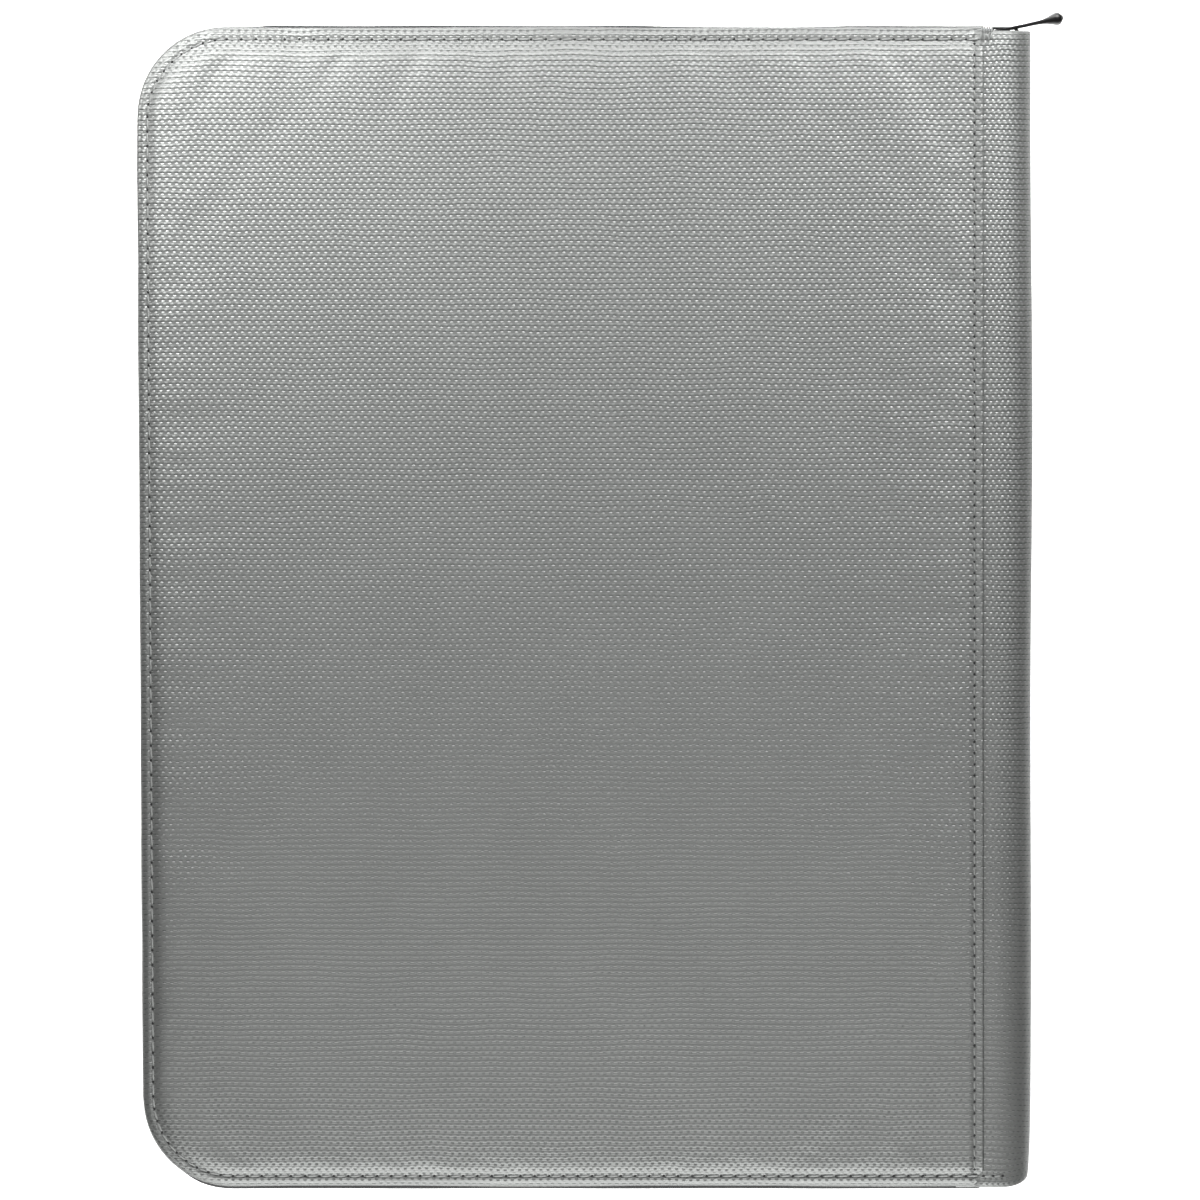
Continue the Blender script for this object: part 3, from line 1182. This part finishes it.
silver = silver_weave()
thread = Shade("grey_thread", (0.17, 0.175, 0.17), 0.6).material
hole = Shade("needle_hole", (0.008, 0.008, 0.008), 0.9).material
lining = dark_cloth("black_lining", (0.016, 0.016, 0.018), 1.0, 0.8)
tape = dark_cloth("zip_tape", (0.010, 0.010, 0.010), 0.9, 0.85)
coil_plastic = Shade("coil_plastic", (0.012, 0.012, 0.012), 0.32).material
enamel = Shade("black_enamel", (0.004, 0.004, 0.004), 0.28, Specular_IOR_Level=0.3).material
steel = Shade("bare_steel", (0.55, 0.55, 0.55), 0.35, metallic=1.0).material
board = Shade("grey_board", (0.32, 0.27, 0.2), 0.9).material
bar_plastic = Shade("bar_plastic", (0.012, 0.012, 0.013), 0.45).material
film = Shade("leaf_film", (0.014, 0.014, 0.016), 0.3, Coat_Weight=0.15).material
foam_stuff = Shade("foam", (0.75, 0.75, 0.72), 0.95).material


def simulated_puff():
    x, _ = pad_grid()
    trial, upper = pad_object("pad_trial", np.zeros(x.shape), 1, foam_stuff)
    rise = simulate_puff(trial, upper[1:-1, 1:-1])[upper]
    bpy.data.objects.remove(trial)
    return PUFF_CAP * (1 - np.exp(-np.maximum(rise, 0) / PUFF_SPREAD))


def pad_top(lift, side):
    """The top of the padding, which follows the face of the cloth a little below it."""
    return face_relief(*pad_grid(), lift, side) - PAD_GAP


puff = simulated_puff()

for side, cover in ((1, "back"), (-1, "front")):
    body = f"{cover}_cover"
    lift = puff if side > 0 else np.zeros(puff.shape)
    pad, _ = pad_object(f"{cover}_padding", pad_top(lift, side), side, foam_stuff)
    cloth = cover_object(f"{cover}_cover_skin", side, lift, silver)
    edge = edge_stitches(f"{cover}_edge_stitches", side, lift, [thread, hole])
    seam = seam_stitches(f"{cover}_seam_stitches", side, lift, [thread, hole])
    inside = lining_object(f"{cover}_inner_lining", side, lining)
    wall = tape_object(f"{cover}_tape_wall", side, tape)
    coil = coil_object(f"{cover}_coil_teeth", side, [coil_plastic, tape])
    for obj, node, slot in (
        (pad, "cover_foam", "foam"), (cloth, "cover_cloth", "silver_cloth"),
        (edge, "edge_stitching", "grey_thread"), (seam, "seam_stitching", "grey_thread"),
        (inside, "cover_lining", "lining"), (wall, "zip_tape", "zip_tape"),
        (coil, "zip_coil", "coil_plastic"),
    ):
        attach(obj, body)
        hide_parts(f"{cover}_{node}")
    strip = strip_object(f"{cover}_spine_strip", side, silver)
    groove = hinge_lining(f"{cover}_hinge_lining", side, lining)
    for obj in (strip, groove):
        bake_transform(obj)
    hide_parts(f"{cover}_hinge_cloth", "spine_cloth")
    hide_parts("spine_lining")

slider = slider_object("zip_slider_body", enamel)
pull = pull_object("zip_pull_tab", enamel)
for obj, node in ((slider, "zip_slider"), (pull, "zip_pull")):
    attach(obj, node)
    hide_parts(node)

pattern = leaf_mesh([film])
for number in range(1, LEAF_COUNT + 1):
    leaf = pattern if number == 1 else bpy.data.objects.new("page_leaf", pattern.data)
    leaf.name = f"pocket_page_{number:02d}"
    if number > 1:
        bpy.context.scene.collection.objects.link(leaf)
    leaf.location.z = (MID_Z + (number - (LEAF_COUNT + 1) / 2) * LEAF_PITCH) * MM
    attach(leaf, f"page_{number:02d}")
    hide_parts(f"page_{number:02d}")

for node, material in (
    ("back_cover_board", board), ("front_cover_board", board), ("spine_board", board),
    ("page_binding_bar", bar_plastic), ("binding_rivets", steel),
    ("front_zip_stops", steel), ("back_zip_stops", steel),
):
    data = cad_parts[node].data
    data.materials.clear()
    data.materials.append(material)

# ---------- floor, light and camera ----------
FLOOR_M = 8
FLOOR_BELOW = 0.0003  # metres
FLOOR_GLOW = 0.6
VIEW_MM = 362.4       # width of floor that the camera sees at the height of the back cover
VIEW_CENTRE = (4.7, 2.0)
CAMERA_UP = 9000.0
ZENITH_GLOW = 0.08    # a soft white glow overhead; the lights do the rest
ZENITH_FROM = 0.6

# Each light in metres and watts: name, place, target, size and power
LIGHTS = (
    ("head_light_mid", (0, 0.42, 0.3), (0, 0.1, 0.04), (0.35, 0.1), 0.6),
    ("head_light_right", (0.22, 0.42, 0.3), (0.1, 0.1, 0.04), (0.35, 0.1), 3.2),
    ("head_light_near", (-0.18, 0.3, 0.22), (-0.1, 0.12, 0.04), (0.25, 0.08), 1.6),
    ("tail_light_high", (0, -0.5, 0.6), (0, -0.1, 0.04), (0.6, 0.2), 3.9),
    ("tail_light_low", (0, -0.42, 0.2), (0, -0.1, 0.04), (0.6, 0.1), 2.05),
)


def floor_plane():
    bpy.ops.mesh.primitive_plane_add(size=FLOOR_M)
    floor = bpy.context.object
    floor.name = "floor"
    floor.location.z = -FLOOR_BELOW
    glow = {"Emission_Color": (1, 1, 1, 1), "Emission_Strength": FLOOR_GLOW}
    floor.data.materials.append(Shade("floor_white", (0.9, 0.9, 0.9), 1.0, **glow).material)
    return floor


def area_light(name, place, target, size, power):
    light = bpy.data.lights.new(name, "AREA")
    light.shape = "RECTANGLE"
    light.size, light.size_y = size
    light.energy = power
    obj = bpy.data.objects.new(name, light)
    bpy.context.scene.collection.objects.link(obj)
    obj.location = place
    obj.rotation_euler = Vector(np.subtract(target, place)).to_track_quat("-Z", "Y").to_euler()


def studio_world():
    world = bpy.data.worlds.new("studio")
    world.use_nodes = True
    tree = world.node_tree
    place = tree.nodes.new("ShaderNodeTexCoord")
    split = tree.nodes.new("ShaderNodeSeparateXYZ")
    glow = tree.nodes.new("ShaderNodeMapRange")
    glow.interpolation_type = "SMOOTHSTEP"
    for socket, value in zip(list(glow.inputs)[1:], (ZENITH_FROM, 1.0, 0.0, ZENITH_GLOW)):
        socket.default_value = value
    background = tree.nodes["Background"]
    background.inputs["Color"].default_value = (1, 1, 1, 1)
    tree.links.new(place.outputs["Generated"], split.inputs[0])
    tree.links.new(split.outputs[2], glow.inputs[0])
    tree.links.new(glow.outputs[0], background.inputs["Strength"])
    return world


floor_plane()
for values in LIGHTS:
    area_light(*values)
bpy.context.scene.world = studio_world()

camera = bpy.data.objects.new("camera", bpy.data.cameras.new("camera"))
bpy.context.scene.collection.objects.link(camera)
camera.location = (VIEW_CENTRE[0] * MM, VIEW_CENTRE[1] * MM, (THICK + CAMERA_UP) * MM)
camera.data.lens = camera.data.sensor_width * CAMERA_UP / VIEW_MM
camera.data.clip_end = 20
bpy.context.scene.camera = camera
bpy.context.scene.view_settings.view_transform = "Standard"
